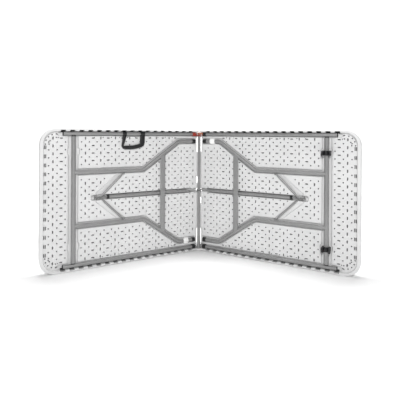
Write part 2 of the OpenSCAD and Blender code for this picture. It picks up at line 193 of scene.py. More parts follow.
def inset(points, d):
    """The outline moved inwards by d, corner by corner."""
    p = np.array(points, float)
    if area(points) < 0:
        p = p[::-1]
    edge = np.roll(p, -1, 0) - p
    edge /= np.linalg.norm(edge, axis=1)[:, None]
    normal = np.stack([-edge[:, 1], edge[:, 0]], 1)
    before = np.roll(normal, 1, 0)
    share = 1 + (normal * before).sum(1)
    return [tuple(v) for v in p + d * (normal + before) / np.maximum(share, 0.3)[:, None]]


def rectangle(s0, s1, z0, z1):
    return [(s0, z0), (s1, z0), (s1, z1), (s0, z1)]


def distance_inside(points, at):
    """How far each point of at is inside the outline, negative outside."""
    p = np.array(points, float)
    q = np.roll(p, -1, 0)
    best = np.full(len(at), 1e9)
    inside = np.zeros(len(at), bool)
    for a, b in zip(p, q):
        d = b - a
        t = np.clip(((at - a) @ d) / (d @ d), 0, 1)
        near = a + t[:, None] * d
        best = np.minimum(best, np.hypot(*(at - near).T))
        crosses = (a[1] > at[:, 1]) != (b[1] > at[:, 1])
        if abs(d[1]) > 1e-12:
            x = a[0] + (at[:, 1] - a[1]) / d[1] * d[0]
            inside ^= crosses & (at[:, 0] < x)
    return np.where(inside, best, -best)


def flipped(points):
    return [(s, W - z) for s, z in points]


# ---------- the moulding ----------

spread = math.atan((FOOT_HALF - LEG_HALF) / (BEND_KNEE_S - BEND_FOOT_S))


def leg_channel():
    k = CHANNEL_W * math.tan(spread / 2)
    z_in, z_out, w = MID + LEG_HALF, MID + FOOT_HALF, CHANNEL_W
    return [
        (PIVOT_S, z_in - w), (PIVOT_S, z_in + w), (BEND_KNEE_S + k, z_in + w),
        (BEND_FOOT_S + k, z_out + w), (GAP, z_out + w), (GAP, z_out - w),
        (BEND_FOOT_S - k, z_out - w), (BEND_KNEE_S - k, z_in - w),
    ]


def brace_channel():
    past_apex, past_arm, from_middle, half_width = 26, 6, 10.0, 16
    a = np.array([APEX_S + past_apex, MID + from_middle])
    b = np.array([ARM_S - past_arm, MID + LEG_HALF])
    along = (b - a) / np.linalg.norm(b - a)
    side = np.array([-along[1], along[0]]) * half_width
    return [tuple(a - side), tuple(b - side), tuple(b + side), tuple(a + side)]


class Hollow:
    """A hollow pressed into the underside: from the level around it to its own floor."""

    def __init__(self, outline, top, floor, wall, loops=(0.0, 0.5, 1.0)):
        self.outline, self.top, self.floor = outline, top, floor
        self.wall, self.loops = wall, loops
        p = np.array(outline)
        self.lo, self.hi = p.min(0), p.max(0)

    def depth(self, at):
        out = np.full(len(at), -1.0)
        near = ((at >= self.lo - 1e-6) & (at <= self.hi + 1e-6)).all(1)
        if near.any():
            d = distance_inside(self.outline, at[near])
            t = np.clip(d / self.wall, 0, 1)
            t = t * t * (3 - 2 * t)
            out[near] = np.where(d > -1e-4, self.top + (self.floor - self.top) * t, -1)
        return out


def large_hollows():
    r = CORNER_R - END_SKIRT + WALL
    s1, z1 = L - END_SKIRT + WALL, W - SKIRT + WALL
    corner = [
        (s1 - r + r * math.cos(a), z1 - r + r * math.sin(a))
        for a in np.linspace(math.pi / 2, 0, 13)
    ]
    recess = [(10 - WALL, W - z1), (10 - WALL, z1)] + corner + flipped(corner)[::-1]
    found = [
        Hollow(recess, 0, FLOOR_N, WALL),
        Hollow(rectangle(-20, 20, W - z1, z1), 0, LIP_N, WALL),
    ]
    for turn in (list, flipped):
        found += [
            Hollow(turn(rounded(leg_channel(), 10)), FLOOR_N, LEG_N, 8),
            Hollow(turn(rounded(brace_channel(), 8)), FLOOR_N, BRACE_N - 3, 6),
            Hollow(
                turn(rounded(rectangle(-20, RAIL_CHANNEL[0], SKIRT - WALL, RAIL_CHANNEL[1]), 8)),
                0, BRACE_N, WALL, (0.0, 0.64, 1.0),
            ),
            Hollow(turn(rectangle(*NOTCH_S, MID + 234, MID + 328)), 0, NOTCH_N, 2),
            Hollow(
                turn(rounded(rectangle(PIVOT_S - 33, PIVOT_S + 31, MID + CLIP_HALF - 24,
                                       MID + CLIP_HALF + 24), 14)),
                FLOOR_N, LEG_N, 5,
            ),
        ]
    found += [
        Hollow(rounded(rectangle(38, ELBOW_S + 24, MID - 17, MID + 17), 12), LIP_N, STRUT_N, 5,
               (0.0, 0.37, 1.0)),
        Hollow(rectangle(-12, 52, MID - 11.5, MID + 11.5), 0, STRUT_N, 1.5),
        Hollow(rounded(rectangle(PIVOT_S - 26, PIVOT_S + 26, SKIRT, W - SKIRT), 20),
               FLOOR_N, LEG_N, 5),
        Hollow(rounded(rectangle(HANDLE_S[0] - 8, HANDLE_S[1] + 8, SKIRT - 4.5, SKIRT + 28), 8),
               0, NOTCH_N, WALL),
        Hollow(rectangle(*NOTCH_S, MID - TONGUE_Z[1] - TONGUE_FIT, MID - TONGUE_Z[0] + TONGUE_FIT),
               0, NOTCH_N, 2),
    ]
    return found


def skirt_pockets():
    found = []
    for i in range(RIB_COUNT):
        s = FIRST_RIB + i * RIB_PITCH
        side = rounded(rectangle(s - POCKET_HALF, s + POCKET_HALF, POCKET_EDGE, SKIRT + 5), 3, 3)
        found.append(Hollow(side, 0, POCKET_N, 2, (0.0, 1.0)))
        found.append(Hollow(flipped(side), 0, POCKET_N, 2, (0.0, 1.0)))
    for i in range(-6, 7):
        z = MID + i * RIB_PITCH
        for row in END_SLOT_ROWS:
            s = L - END_SKIRT - row
            half_s, half_z = END_SLOT_HALF
            end = rounded(rectangle(s - half_s, s + half_s, z - half_z, z + half_z), 2, 3)
            found.append(Hollow(end, FLOOR_N, SLOT_N, 1.2, (0.0, 1.0)))
    return found


def pit(s, z, length, width, angle, level, deep=DIMPLE_DEEP):
    """One dimple of the floor: a short slot, or a round dot where both sizes are the same."""
    r = width / 2
    half = max(0.0, length / 2 - r)
    c, d = math.cos(angle), math.sin(angle)
    ring = []
    for end in (1, -1):
        for k in range(5):
            a = math.pi * (k / 4 - 0.5)
            u, v = end * (half + r * math.cos(a)), end * r * math.sin(a)
            ring.append((s + u * c - v * d, z + u * d + v * c))
    if half == 0:
        ring = [(s + r * math.cos(a), z + r * math.sin(a))
                for a in np.linspace(0, 2 * math.pi, 10, endpoint=False)]
    return Hollow(ring, level, level + deep, min(1.6, r * 0.45), (0.0, 1.0))


def corner_dimples():
    """Rows of slots and dots that follow the rounded outer corners."""
    centre_s, centre_z = L - CORNER_R, W - CORNER_R
    found = []
    for radius, count in ((52, 4), (34, 3)):
        for k in range(count + 1):
            a = math.pi / 2 * k / count
            s, z = centre_s + radius * math.cos(a), centre_z + radius * math.sin(a)
            for flip in (False, True):
                found.append((s, W - z if flip else z, DOT, DOT, 0.0))
    return found


def dimples(level_at):
    """Slots on a square grid, lying and standing by turns, with a dot in each square."""
    wanted = []
    for i in range(-1, 23):
        s = GRID_LINE + GRID * (i - 12)
        standing = i % 2 == 0
        for j in range(-9, 10):
            z = MID + j * GRID_Z
            wanted.append((s, z, *SLOT_DIMPLE, math.pi / 2 if standing else 0.0))
            wanted.append((s + GRID / 2, z + GRID_Z / 2, DOT, DOT, 0.0))
    for j in range(-7, 8):
        wanted.append((BAR_S + 21, MID + GRID_Z / 2 + GRID_Z * j, BAR_DOT, BAR_DOT, 0.0))
    for i in range(RIB_COUNT):
        s = FIRST_RIB + (i + 0.5) * RIB_PITCH
        for z in (SKIRT + 32, W - SKIRT - 32):
            wanted.append((s, z, RIB_DOT, RIB_DOT, 0.0))
    wanted += corner_dimples()
    share = np.linspace(-1, 1, 5)
    across = np.array([(a, b) for a in share for b in share])
    around = []
    for s, z, length, width, angle in wanted:
        reach = np.array([length, width]) / 2 + 2.8
        around.append(np.array([s, z]) + across * (reach if angle == 0 else reach[::-1]))
    levels = level_at(np.concatenate(around)).reshape(len(wanted), -1)
    found = []
    for (s, z, length, width, angle), level in zip(wanted, levels):
        on_floor = np.abs(level - FLOOR_N) < 0.05
        if on_floor[len(level) // 2] and on_floor.mean() > 0.6 and level.min() > 19 and s > 22:
            deep = BAR_DOT_DEEP if width == BAR_DOT else DIMPLE_DEEP
            found.append(pit(s, z, length, width, angle, FLOOR_N, deep))
    hole = pit(*HOLE_AT, 7.0, 7.0, 0.0, FLOOR_N, BAR_DOT_DEEP)
    return found + [hole]


def base_outline(d):
    """The outline of a half, d inside its edge. The fold side stays where it is."""
    s1, r = L - d, CORNER_R - d
    z0, z1 = d, W - d
    top = [(s1 - r + r * math.cos(a), z1 - r + r * math.sin(a))
           for a in np.linspace(math.pi / 2, 0, 17)]
    return [(GAP, z0), (GAP, z1)] + top + [(s, W - z) for s, z in top[::-1]]


def outward(point):
    """The direction out of the half at a point of its edge."""
    s, z = point
    if s <= GAP + 1e-3:
        return np.zeros(2)
    c_s, c_z = L - CORNER_R, CORNER_R
    if s > c_s and (z > W - c_z or z < c_z):
        v = np.array([s - c_s, z - (W - c_z if z > MID else c_z)])
        return v / np.linalg.norm(v)
    if s > c_s + CORNER_R / 2:
        return np.array([1.0, 0.0])
    return np.array([0.0, 1.0 if z > MID else -1.0])


def clipped(points):
    """Points kept inside the panel's first edge line."""
    z0, z1 = RIM_R, W - RIM_R
    return [(min(max(s, GAP), L - RIM_R), min(max(z, z0), z1)) for s, z in points]


def edge_loop(mesh):
    """The open edge of the underside, as one ring of vertices that starts along the fold."""
    link = {}
    for e in mesh.edges:
        if len(e.link_faces) == 1:
            for v in e.verts:
                link.setdefault(v, []).append(e.other_vert(v))
    start = min(link, key=lambda v: (v.co.x, v.co.z))
    ring, last = [start], None
    while True:
        here = ring[-1]
        step = [v for v in link[here] if v is not last]
        nxt = step[0] if len(ring) > 1 or step[0].co.x <= GAP + 1e-3 else step[1]
        if nxt is start:
            break
        last = here
        ring.append(nxt)
        if len(ring) > len(link) + 2:
            raise RuntimeError("the panel's edge is not one loop")
    return ring


def close_edge(mesh, ring, painted_recess_shade):
    """Rim, side, rolled edge and working face, ring by ring outwards and then inwards."""
    rings = [(RIM_R - math.sin(a) * RIM_R, GAP + RIM_R - math.cos(a) * RIM_R)
             for a in (math.pi / 8, math.pi / 4, 3 * math.pi / 8, math.pi / 2)]
    rings += [(0.0, T - EDGE_R)]
    rings += [(EDGE_R * (1 - math.cos(a)), T - EDGE_R * (1 - math.sin(a)))
              for a in np.linspace(0, math.pi / 2, 7)[1:]]
    previous = ring
    for inwards, n in rings:
        new = []
        for v in ring:
            out = outward((v.co.x, v.co.z))
            co = Vector((v.co.x + out[0] * (RIM_R - inwards), max(n, v.co.y) if not out.any() else n,
                         v.co.z + out[1] * (RIM_R - inwards)))
            w = mesh.verts.new(co)
            # the rim, side and working face carry no painted shade
            w[painted_recess_shade] = 0.0
            new.append(w)
        for i in range(len(ring)):
            k = (i + 1) % len(ring)
            mesh.faces.new([previous[i], previous[k], new[k], new[i]])
        previous = new
    mesh.faces.new(previous)


def moulding_mesh():
    """The underside as a surface with its depths, then the edge, the face and the tongue."""
    large = large_hollows()
    pockets = skirt_pockets()

    def level_at(at, hollows=large + pockets):
        depth = np.full(len(at), GAP)
        for h in hollows:
            depth = np.maximum(depth, h.depth(at))
        return depth

    pits = dimples(level_at)
    hollows = large + pockets + pits
    verts, edges = [], []

    def add_loop(points):
        first = len(verts)
        kept = []
        for p in points:
            if not kept or math.dist(kept[-1], p) > 0.02:
                kept.append(p)
        if math.dist(kept[0], kept[-1]) < 0.02:
            kept.pop()
        if len(kept) < 3:
            return None
        verts.extend(Vector(p) for p in kept)
        count = len(kept)
        edges.extend((first + i, first + (i + 1) % count) for i in range(count))
        return list(range(first, first + count))

    border = add_loop(base_outline(RIM_R))
    for h in hollows:
        for share in h.loops:
            add_loop(clipped(inset(h.outline, share * h.wall) if share else h.outline))
    flat, _, faces, *_ = delaunay_2d_cdt(verts, edges, [border], 1, 1e-3)
    at = np.array([(v.x, v.y) for v in flat])
    depth = level_at(at, hollows)
    # painted shade in the pits, pockets and end slots: a share that grows with depth below their
    # rim, kept on the vertices for the panel material
    shade_share = np.zeros(len(at))
    for h in pits + pockets:
        d = h.depth(at)
        most = 1.0 if h.floor > FULL_SHADE_FLOOR_N else 0.8
        shade_share = np.maximum(shade_share, np.where(d > h.top + 0.5, most * (d - h.top) / (h.floor - h.top), 0))

    mesh = bmesh.new()
    painted_recess_shade = mesh.verts.layers.float.new("painted_recess_shade")
    made = []
    for (s, z), n, g in zip(at, depth, shade_share):
        v = mesh.verts.new((s, n, z))
        v[painted_recess_shade] = min(1.0, float(g))
        made.append(v)
    for f in faces:
        try:
            mesh.faces.new([made[i] for i in f])
        except ValueError:
            pass

    close_edge(mesh, edge_loop(mesh), painted_recess_shade)
    tongue = rounded(rectangle(-9, 12, MID + TONGUE_Z[0], MID + TONGUE_Z[1]), 3)
    rolled(mesh, tongue, 22, 29, 1.0, in_plane)
    bmesh.ops.remove_doubles(mesh, verts=mesh.verts, dist=0.01)
    bmesh.ops.dissolve_degenerate(mesh, dist=0.005, edges=mesh.edges)
    bmesh.ops.recalc_face_normals(mesh, faces=mesh.faces)
    return mesh


def finish_mesh(name, mesh, matrix, body, material, replaces=()):
    """A mesh drawn in millimetres becomes a piece, placed by matrix and riding on body."""
    data = bpy.data.meshes.new(name)
    bmesh.ops.transform(mesh, matrix=matrix @ Matrix.Scale(MM, 4), verts=mesh.verts)
    if matrix.determinant() < 0:
        bmesh.ops.reverse_faces(mesh, faces=mesh.faces)
    for e in mesh.edges:
        e.smooth = len(e.link_faces) != 2 or e.calc_face_angle(0) < SMOOTH_BELOW
    for f in mesh.faces:
        f.smooth = True
    mesh.to_mesh(data)
    mesh.free()
    piece = bpy.data.objects.new(name, data)
    bpy.context.scene.collection.objects.link(piece)
    data.materials.append(material)
    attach(piece, body)
    if replaces:
        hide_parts(*replaces)
    return piece


# ---------- small parts, drawn in a half's own frame ----------


def turned(mesh, line, centre, axis, count=40, shape=None):
    """A closed line of (along, radius) points swept round an axis through centre.

    With a shape, radii of zero and less are distances inside that outer shape.
    """
    rings = []
    for k in range(count):
        a = 2 * math.pi * k / count
        c, d = math.cos(a), math.sin(a)
        ring = []
        for along, radius in line:
            if shape is not None and radius <= 0:
                radius += shape(c, d)
            offset = (along, radius * c, radius * d) if axis == "s" else (
                radius * c, radius * d, along)
            ring.append(mesh.verts.new([p + q for p, q in zip(centre, offset)]))
        rings.append(ring)
    size = len(line)
    for k, ring in enumerate(rings):
        other = rings[(k + 1) % count]
        for i in range(size):
            j = (i + 1) % size
            mesh.faces.new([ring[i], ring[j], other[j], other[i]])


def rolled(mesh, outline, lo, hi, r, place, steps=4):
    """A slab with rounded edges: an outline in two directions, thick along the third."""
    if area(outline) < 0:
        outline = outline[::-1]
    levels = [(r * (1 - math.sin(a)), lo + r * (1 - math.cos(a)))
              for a in np.linspace(0, math.pi / 2, steps)]
    levels += [(d, lo + hi - w) for d, w in levels[::-1]]
    rings = [[mesh.verts.new(place(u, v, w)) for u, v in (inset(outline, d) if d else outline)]
             for d, w in levels]
    count = len(outline)
    for a, b in zip(rings, rings[1:]):
        for i in range(count):
            j = (i + 1) % count
            mesh.faces.new([a[i], a[j], b[j], b[i]])
    mesh.faces.new(rings[0][::-1])
    mesh.faces.new(rings[-1])


def lofted(mesh, stations, fixed, count=24):
    """A bar through stations of (centre, half size along fixed, half size across it)."""
    centres = [Vector(c) for c, *_ in stations]
    fixed = Vector(fixed)
    rings = []
    for i, (c, along, across) in enumerate(stations):
        step = centres[min(i + 1, len(centres) - 1)] - centres[max(i - 1, 0)]
        side = step.cross(fixed).normalized()
        ring = []
        for k in range(count):
            a = 2 * math.pi * k / count
            u, v = math.cos(a), math.sin(a)
            # round where both half sizes are about the same, boxy elsewhere
            flat = 1.0 if abs(along - across) < 0.3 else 0.6
            u, v = math.copysign(abs(u) ** flat, u), math.copysign(abs(v) ** flat, v)
            ring.append(mesh.verts.new(Vector(c) + fixed * (along * v) + side * (across * u)))
        rings.append(ring)
    for a, b in zip(rings, rings[1:]):
        for k in range(count):
            j = (k + 1) % count
            mesh.faces.new([a[k], a[j], b[j], b[k]])
    mesh.faces.new(rings[0][::-1])
    mesh.faces.new(rings[-1])


def mirrored(middle, half):
    """A profile with two like ends: half runs inwards as (distance from middle, radius)."""
    return [(middle - u, r) for u, r in half] + [(middle + u, r) for u, r in half[::-1]]


def sealed(mesh):
    bmesh.ops.remove_doubles(mesh, verts=mesh.verts, dist=1e-3)
    bmesh.ops.recalc_face_normals(mesh, faces=mesh.faces)
    return mesh


def in_plane(u, v, w):
    """Outlines in s and z, thick along n."""
    return (u, w, v)


def upright(u, v, w):
    """Outlines in s and n, thick along z."""
    return (u, v, w)


def handle_mesh():
    """The carrying handle: two collars on the rail and a loop that hangs lower outside."""
    a, b = HANDLE_S
    z0, z1, n = RAIL_Z + 10.3, RAIL_Z + 87.0, 12.5
    line = [
        (b - 19, z0, 10.8), (b - 17.5, z0 + 10, 10.0), (b - 12.5, z1 - 40, 7.4),
        (b - 8.6, z1 - 27, 6.2), (b - 8.4, z1 - 19, 6.6), (b - 13.5, z1 - 12.5, 8.4),
        (b - 26, z1 - 11.2, 10.4), (b - 48, z1 - 10.9, 10.7), (b - 66, z1 - 11.2, 10.7),
        (b - 86, z1 - 14.4, 10.8), (a + 37, z1 - 18.4, 11.0), (a + 26, z1 - 22.4, 12.0),
        (a + 19, z1 - 29.5, 13.6), (a + 16.5, z1 - 39, 14.4), (a + 15.6, z0 + 12, 13.8),
        (a + 15.5, z0, 13.3),
    ]
    mesh = bmesh.new()
    lofted(mesh, [((s, n, z), 6.4, w) for s, z, w in line], (0, 1, 0), 32)
    for s0, s1 in ((a + 2, a + 29), (b - 30, b - 8)):
        collar = [(s0, 9.9), (s0, 11.4), (s0 + 1.2, 12.6), (s1 - 1.2, 12.6), (s1, 11.4),
                  (s1, 9.9)]
        turned(mesh, collar, (0, TUBE_N, RAIL_Z), "s", 48)
    return sealed(mesh)


def clip_outline():
    """A double hook: the pivot tube of its own half, and a mouth for the other half's."""
    bore, r, half = 12.6, 3.0, 22.8
    inner = [(bore * math.sin(a), TUBE_N - bore * math.cos(a))
             for a in np.linspace(-2.2, 2.2, 21)]
    mouth = [(bore * math.sin(a), -TUBE_N + bore * math.cos(a))
             for a in np.linspace(1.95, -1.95, 19)]
    top_n, low_n = 23.8, -22.8
    outline = [(-half, low_n), (-14.6, low_n), mouth[-1]] + mouth[-2:0:-1] + [mouth[0]]
    outline += [(14.6, low_n), (half, low_n), (half, top_n), (inner[-1][0] + 0.6, top_n)]
    outline += inner[::-1] + [(inner[0][0] - 0.6, top_n), (-half, top_n)]
    return outline


def clips_mesh():
    mesh = bmesh.new()
    outline = [(PIVOT_S + u, v) for u, v in clip_outline()]
    for z in (MID + CLIP_HALF, MID - CLIP_HALF):
        rolled(mesh, outline, z - 12.4, z + 12.4, 1.2, upright, 4)
    return sealed(mesh)


def foot_caps_mesh():
    """Black feet with ribs, closed at the end and open round the leg."""
    line = [(0, 0), (0, 11.2), (0.5, 12.2), (1.6, 12.9), (6.6, 12.9), (7.3, 12.0), (8.4, 12.0),
            (9.0, 12.7), (12.0, 12.7), (12.6, 11.9), (13.6, 11.9), (14.2, 12.5), (17.2, 12.5),
            (17.8, 11.8), (21.5, 11.7), (22, 11.1), (3.2, 11.1), (3.2, 0)]
    mesh = bmesh.new()
    for z in (MID + FOOT_HALF, MID - FOOT_HALF):
        turned(mesh, line, (FOOT_END, TUBE_N, z), "s", 40)
    return sealed(mesh)


def block_shape(near, far):
    """A rounded block round a tube: near and far are its reaches across the tube."""
    def reach(c, d):
        side = far if d > 0 else near
        return ((abs(c) / 12.4) ** 5 + (abs(d) / side) ** 5) ** -0.2
    return reach


def sleeve_line(s0, s1, ribs):
    line = [(s0, 9.75), (s0, -1.6), (s0 + 0.5, -0.5), (s0 + 1.6, -0.001)]
    for k in range(ribs):
        s = s0 + 4 + (s1 - s0 - 8) * (k + 0.5) / ribs
        line += [(s - 1.1, -0.001), (s - 0.5, -0.9), (s + 0.5, -0.9), (s + 1.1, -0.001)]
    return line + [(s1 - 1.6, -0.001), (s1 - 0.5, -0.5), (s1, -1.6), (s1, 9.75)]


def sleeves_mesh(heights, ribs):
    """Sleeves at the fold ends of the rails: fuller on the side of the near long edge."""
    mesh = bmesh.new()
    for z in heights:
        shape = block_shape(12.3, 10.3) if z > MID else block_shape(10.3, 12.3)
        turned(mesh, sleeve_line(*SLEEVE_S, ribs), (0, TUBE_N, z), "s", 56, shape)
    return sealed(mesh)


def knuckle_mesh(z0, z_rail):
    """A ring round the fold tube, a short arm, and the plate that plugs into the rail."""
    mesh = bmesh.new()
    ring = mirrored(z0 + 5.5, [(5.45, 9.15), (5.45, 11.4), (5.1, 12.1), (4.3, 12.4)])
    turned(mesh, ring, (0, 0, 0), "z", 40)
    c, d = math.cos(math.radians(37)), math.sin(math.radians(37))
    arm = [(u * c - v * d, u * d + v * c) for u, v in rectangle(10.4, 22, -5, 5)]
    rolled(mesh, arm, z0 + 0.4, z0 + 10.6, 1.0, upright)
    z_lo, z_hi = min(z0, z_rail - 7), max(z0 + 11, z_rail + 7)
    rolled(mesh, rounded(rectangle(12.1, 21.4, 6.1, 21.9), 3), z_lo, z_hi, 1.5, upright)
    plug = [(20.5, 0), (20.5, 7.8), (51, 7.8), (51.5, 7.2), (51.5, 0)]
    turned(mesh, plug, (0, TUBE_N, z_rail), "s", 32)
    return sealed(mesh)


def leg_sleeve_mesh():
    """The white sleeve: a collar round the leg and a rounded block that sits in the channel."""
    mesh = bmesh.new()
    z = MID + FOOT_HALF
    collar = mirrored(LEG_SLEEVE_S, [(15.9, 11.1), (15.9, 12.4), (14.7, 13.4)])
    turned(mesh, collar, (0, TUBE_N, z), "s", 48)

    round_r = 15.0

    def block(c, d):
        wings = ((abs(c) / 10.3) ** 6 + (abs(d) / 17.8) ** 6) ** (-1 / 6)
        return max(round_r, wings) if abs(d) > 0.55 else round_r

    wing = mirrored(LEG_SLEEVE_S, [(13.0, 13.0), (13.0, -1.4), (12.4, -0.4), (11.2, -0.001)])
    turned(mesh, wing, (0, TUBE_N, z), "s", 64, block)
    return sealed(mesh)


def rail_caps_mesh():
    """Plugs in the outer ends of the rails, with a rounded rim."""
    profile = [(-13.9, 7.8), (-13.9, 6.2), (1.9, 6.2), (1.9, 0), (4.9, 0), (4.9, 7.6), (4.4, 9.6),
               (3.4, 10.7), (0.8, 10.9), (0.2, 10.4), (0.2, 7.8)]
    line = [(RAIL_END + u, r) for u, r in profile]
    mesh = bmesh.new()
    for z in (RAIL_Z, W - RAIL_Z):
        turned(mesh, line, (0, TUBE_N, z), "s", 40)
    return sealed(mesh)


def lock_ring_mesh():
    line = mirrored(LOCK_RING_S, [(6.4, 9.7), (6.4, 10.3), (5.7, 10.8), (3.9, 10.8), (3.3, 10.3),
                                  (2.1, 10.3), (1.5, 10.8)])
    mesh = bmesh.new()
    turned(mesh, line, (0, STRUT_LINE, MID), "s", 48)
    return sealed(mesh)


def strut_mesh():
    """A tube flattened at both ends, with an eye on the fold tube and a boss at the elbow."""
    mesh = bmesh.new()
    z_eye = MID + 5.5
    flat = [
        ((10.2, 5.4, z_eye), 3.4, 7.6), ((26, 13.8, z_eye), 3.4, 8.2),
        ((40, 21.0, z_eye), 3.5, 8.4), ((48, 24.0, z_eye), 3.8, 8.7),
        ((56, STRUT_LINE, MID + 4.6), 4.9, 8.9), ((64, STRUT_LINE, MID + 2.6), 6.9, 9.2),
        ((72, STRUT_LINE, MID + 0.7), 8.9, 9.4), ((78, STRUT_LINE, MID), STRUT_R, STRUT_R),
    ]
    straight = [((s, STRUT_LINE, MID), STRUT_R, STRUT_R) for s in (200, 340, 480, 545)]
    tail = [
        ((553, 24.8, MID), 7.6, 9.2), ((560, 24.4, MID), 4.8, 8.4), ((567, 23.8, MID), 2.6, 7.6),
        ((585, 21.6, MID), 2.4, 6.9), ((616, 15.9, MID), 2.4, 6.9),
    ]
    lofted(mesh, flat + straight + tail, (0, 0, 1))
    eye = mirrored(z_eye, [(3.45, 9.15), (3.45, 12.2), (2.7, 12.9)])
    turned(mesh, eye, (0, 0, 0), "z", 40)
    boss = mirrored(MID, [(2.95, 0), (2.95, 8.3), (2.3, 8.9)])
    turned(mesh, boss, (ELBOW_S, TUBE_N, 0), "z", 32)
    return sealed(mesh)


def brace_mesh(flip):
    """One arm: flattened beside the strut's tail, a round rod, and an eye inside the leg."""
    lo, hi = 4.55, 7.95
    stub = (lo + hi) / 2
    eye = 125.3
    a, b = (APEX_S, 10.5), (ARM_S + 11, 117.5)
    rod = [(a[0] + (b[0] - a[0]) * t, a[1] + (b[1] - a[1]) * t) for t in (0.04, 0.12, 0.88, 0.96)]
    line = [
        ((ELBOW_S - 4, stub), 5.3, 1.65), ((602, stub), 5.3, 1.65), ((594, stub + 0.4), 5.3, 2.2),
        (rod[0], 5.6, 4.2), (rod[1], 5.95, 5.9), (rod[2], 5.95, 5.9), (rod[3], 5.4, 4.2),
        ((ARM_S + 8.0, eye - 3.2), 5.0, 2.2), ((ARM_S + 3, eye), 5.0, 1.55),
    ]
    mesh = bmesh.new()

    def up(z):
        return MID - z if flip else MID + z

    lofted(mesh, [((s, TUBE_N, up(z)), n, w) for (s, z), n, w in line], (0, 1, 0))
    for s, z_lo, z_hi, bore in ((ELBOW_S, lo, hi, 0), (ARM_S, 123.6, 127.4, 3.2)):
        half = (z_hi - z_lo) / 2
        end = mirrored(up((z_lo + z_hi) / 2), [(half, bore), (half, 7.3), (half - 0.5, 7.9)])
        turned(mesh, end, (s, TUBE_N, 0), "z", 32)
    return sealed(mesh)


# ---------- materials ----------


class Paint:
    """A material made from noise at a few scales, in the piece's own coordinates."""

    def __init__(self, name, colour, roughness, metallic=0.0):
        self.material = bpy.data.materials.new(name)
        self.material.use_nodes = True
        self.tree = self.material.node_tree
        self.shader = self.tree.nodes["Principled BSDF"]
        self.shader.inputs["Metallic"].default_value = metallic
        self.place = self.tree.nodes.new("ShaderNodeTexCoord").outputs["Object"]
        self.colour = self.ramp(self.noise(7, 4), [(0.3, colour[0]), (0.7, colour[1])])
        self.roughness = self.spread(self.noise(60, 5), *roughness)
        self.bumps = None

    def link(self, a, b):
        self.tree.links.new(a, b)

    def noise(self, scale, detail, distortion=0.0):
        node = self.tree.nodes.new("ShaderNodeTexNoise")
        node.inputs["Scale"].default_value = scale
        node.inputs["Detail"].default_value = detail
        node.inputs["Distortion"].default_value = distortion
        self.link(self.place, node.inputs["Vector"])
        return node.outputs["Fac"]

    def grain(self, scale):
        node = self.tree.nodes.new("ShaderNodeTexVoronoi")
        node.inputs["Scale"].default_value = scale
        node.inputs["Randomness"].default_value = 1.0
        self.link(self.place, node.inputs["Vector"])
        return node.outputs["Distance"]

    def ramp(self, value, stops):
        node = self.tree.nodes.new("ShaderNodeValToRGB")
        while len(node.color_ramp.elements) < len(stops):
            node.color_ramp.elements.new(0.5)
        for element, (position, colour) in zip(node.color_ramp.elements, stops):
            element.position = position
            rgb = colour if hasattr(colour, "__len__") else (colour, colour, colour)
            element.color = (*rgb, 1.0)
        self.link(value, node.inputs["Fac"])
        return node.outputs["Color"]

    def spread(self, value, low, high):
        node = self.tree.nodes.new("ShaderNodeMapRange")
        node.inputs["From Min"].default_value = 0.3
        node.inputs["From Max"].default_value = 0.7
        node.inputs["To Min"].default_value = low
        node.inputs["To Max"].default_value = high
        self.link(value, node.inputs["Value"])
        return node.outputs["Result"]

    def over(self, mask, colour, most=1.0):
        """Another colour laid over where mask is high."""
        node = self.tree.nodes.new("ShaderNodeMix")
        node.data_type = "RGBA"
        share = self.tree.nodes.new("ShaderNodeMath")
        share.operation = "MULTIPLY"
        share.inputs[1].default_value = most
        self.link(mask, share.inputs[0])
        self.link(share.outputs[0], node.inputs["Factor"])
        self.link(self.colour, node.inputs["A"])
        rgb = colour if hasattr(colour, "__len__") else (colour, colour, colour)
        node.inputs["B"].default_value = (*rgb, 1.0)
        self.colour = node.outputs["Result"]

    def attribute(self, name):
        node = self.tree.nodes.new("ShaderNodeAttribute")
        node.attribute_name = name
        return node.outputs["Fac"]

    def bump(self, height, strength, distance):
        node = self.tree.nodes.new("ShaderNodeBump")
        node.inputs["Strength"].default_value = strength
        node.inputs["Distance"].default_value = distance
        self.link(height, node.inputs["Height"])
        if self.bumps is not None:
            self.link(self.bumps, node.inputs["Normal"])
        self.bumps = node.outputs["Normal"]

    def done(self):
        self.link(self.colour, self.shader.inputs["Base Color"])
        self.link(self.roughness, self.shader.inputs["Roughness"])
        if self.bumps is not None:
            self.link(self.bumps, self.shader.inputs["Normal"])
        return self.material


def panel_plastic():
    p = Paint("panel_plastic", (0.70, 0.75), (0.42, 0.58))
    p.over(p.ramp(p.noise(38, 8, 0.6), [(0.60, 0.0), (0.74, 1.0)]), 0.70, 0.35)
    # painted shade: near-black laid over the underside's pits, pockets and end slots, as strong as
    # their vertex attribute says
    p.over(p.attribute("painted_recess_shade"), (0.03, 0.03, 0.032), 0.97)
    p.bump(p.grain(900), 0.10, 0.0006)
    p.bump(p.noise(24, 3), 0.10, 0.002)
    return p.done()


def powder_coat(name, tone, rough=(0.34, 0.46)):
    p = Paint(name, (tone * 0.93, tone * 1.06), rough, metallic=0.35)
    p.over(p.ramp(p.noise(210, 6, 1.5), [(0.66, 0.0), (0.72, 1.0)]), tone * 1.5, 0.35)
    p.over(p.ramp(p.noise(30, 6), [(0.62, 0.0), (0.75, 1.0)]), tone * 0.6, 0.3)
    p.bump(p.noise(1400, 2), 0.12, 0.0004)
    return p.done()


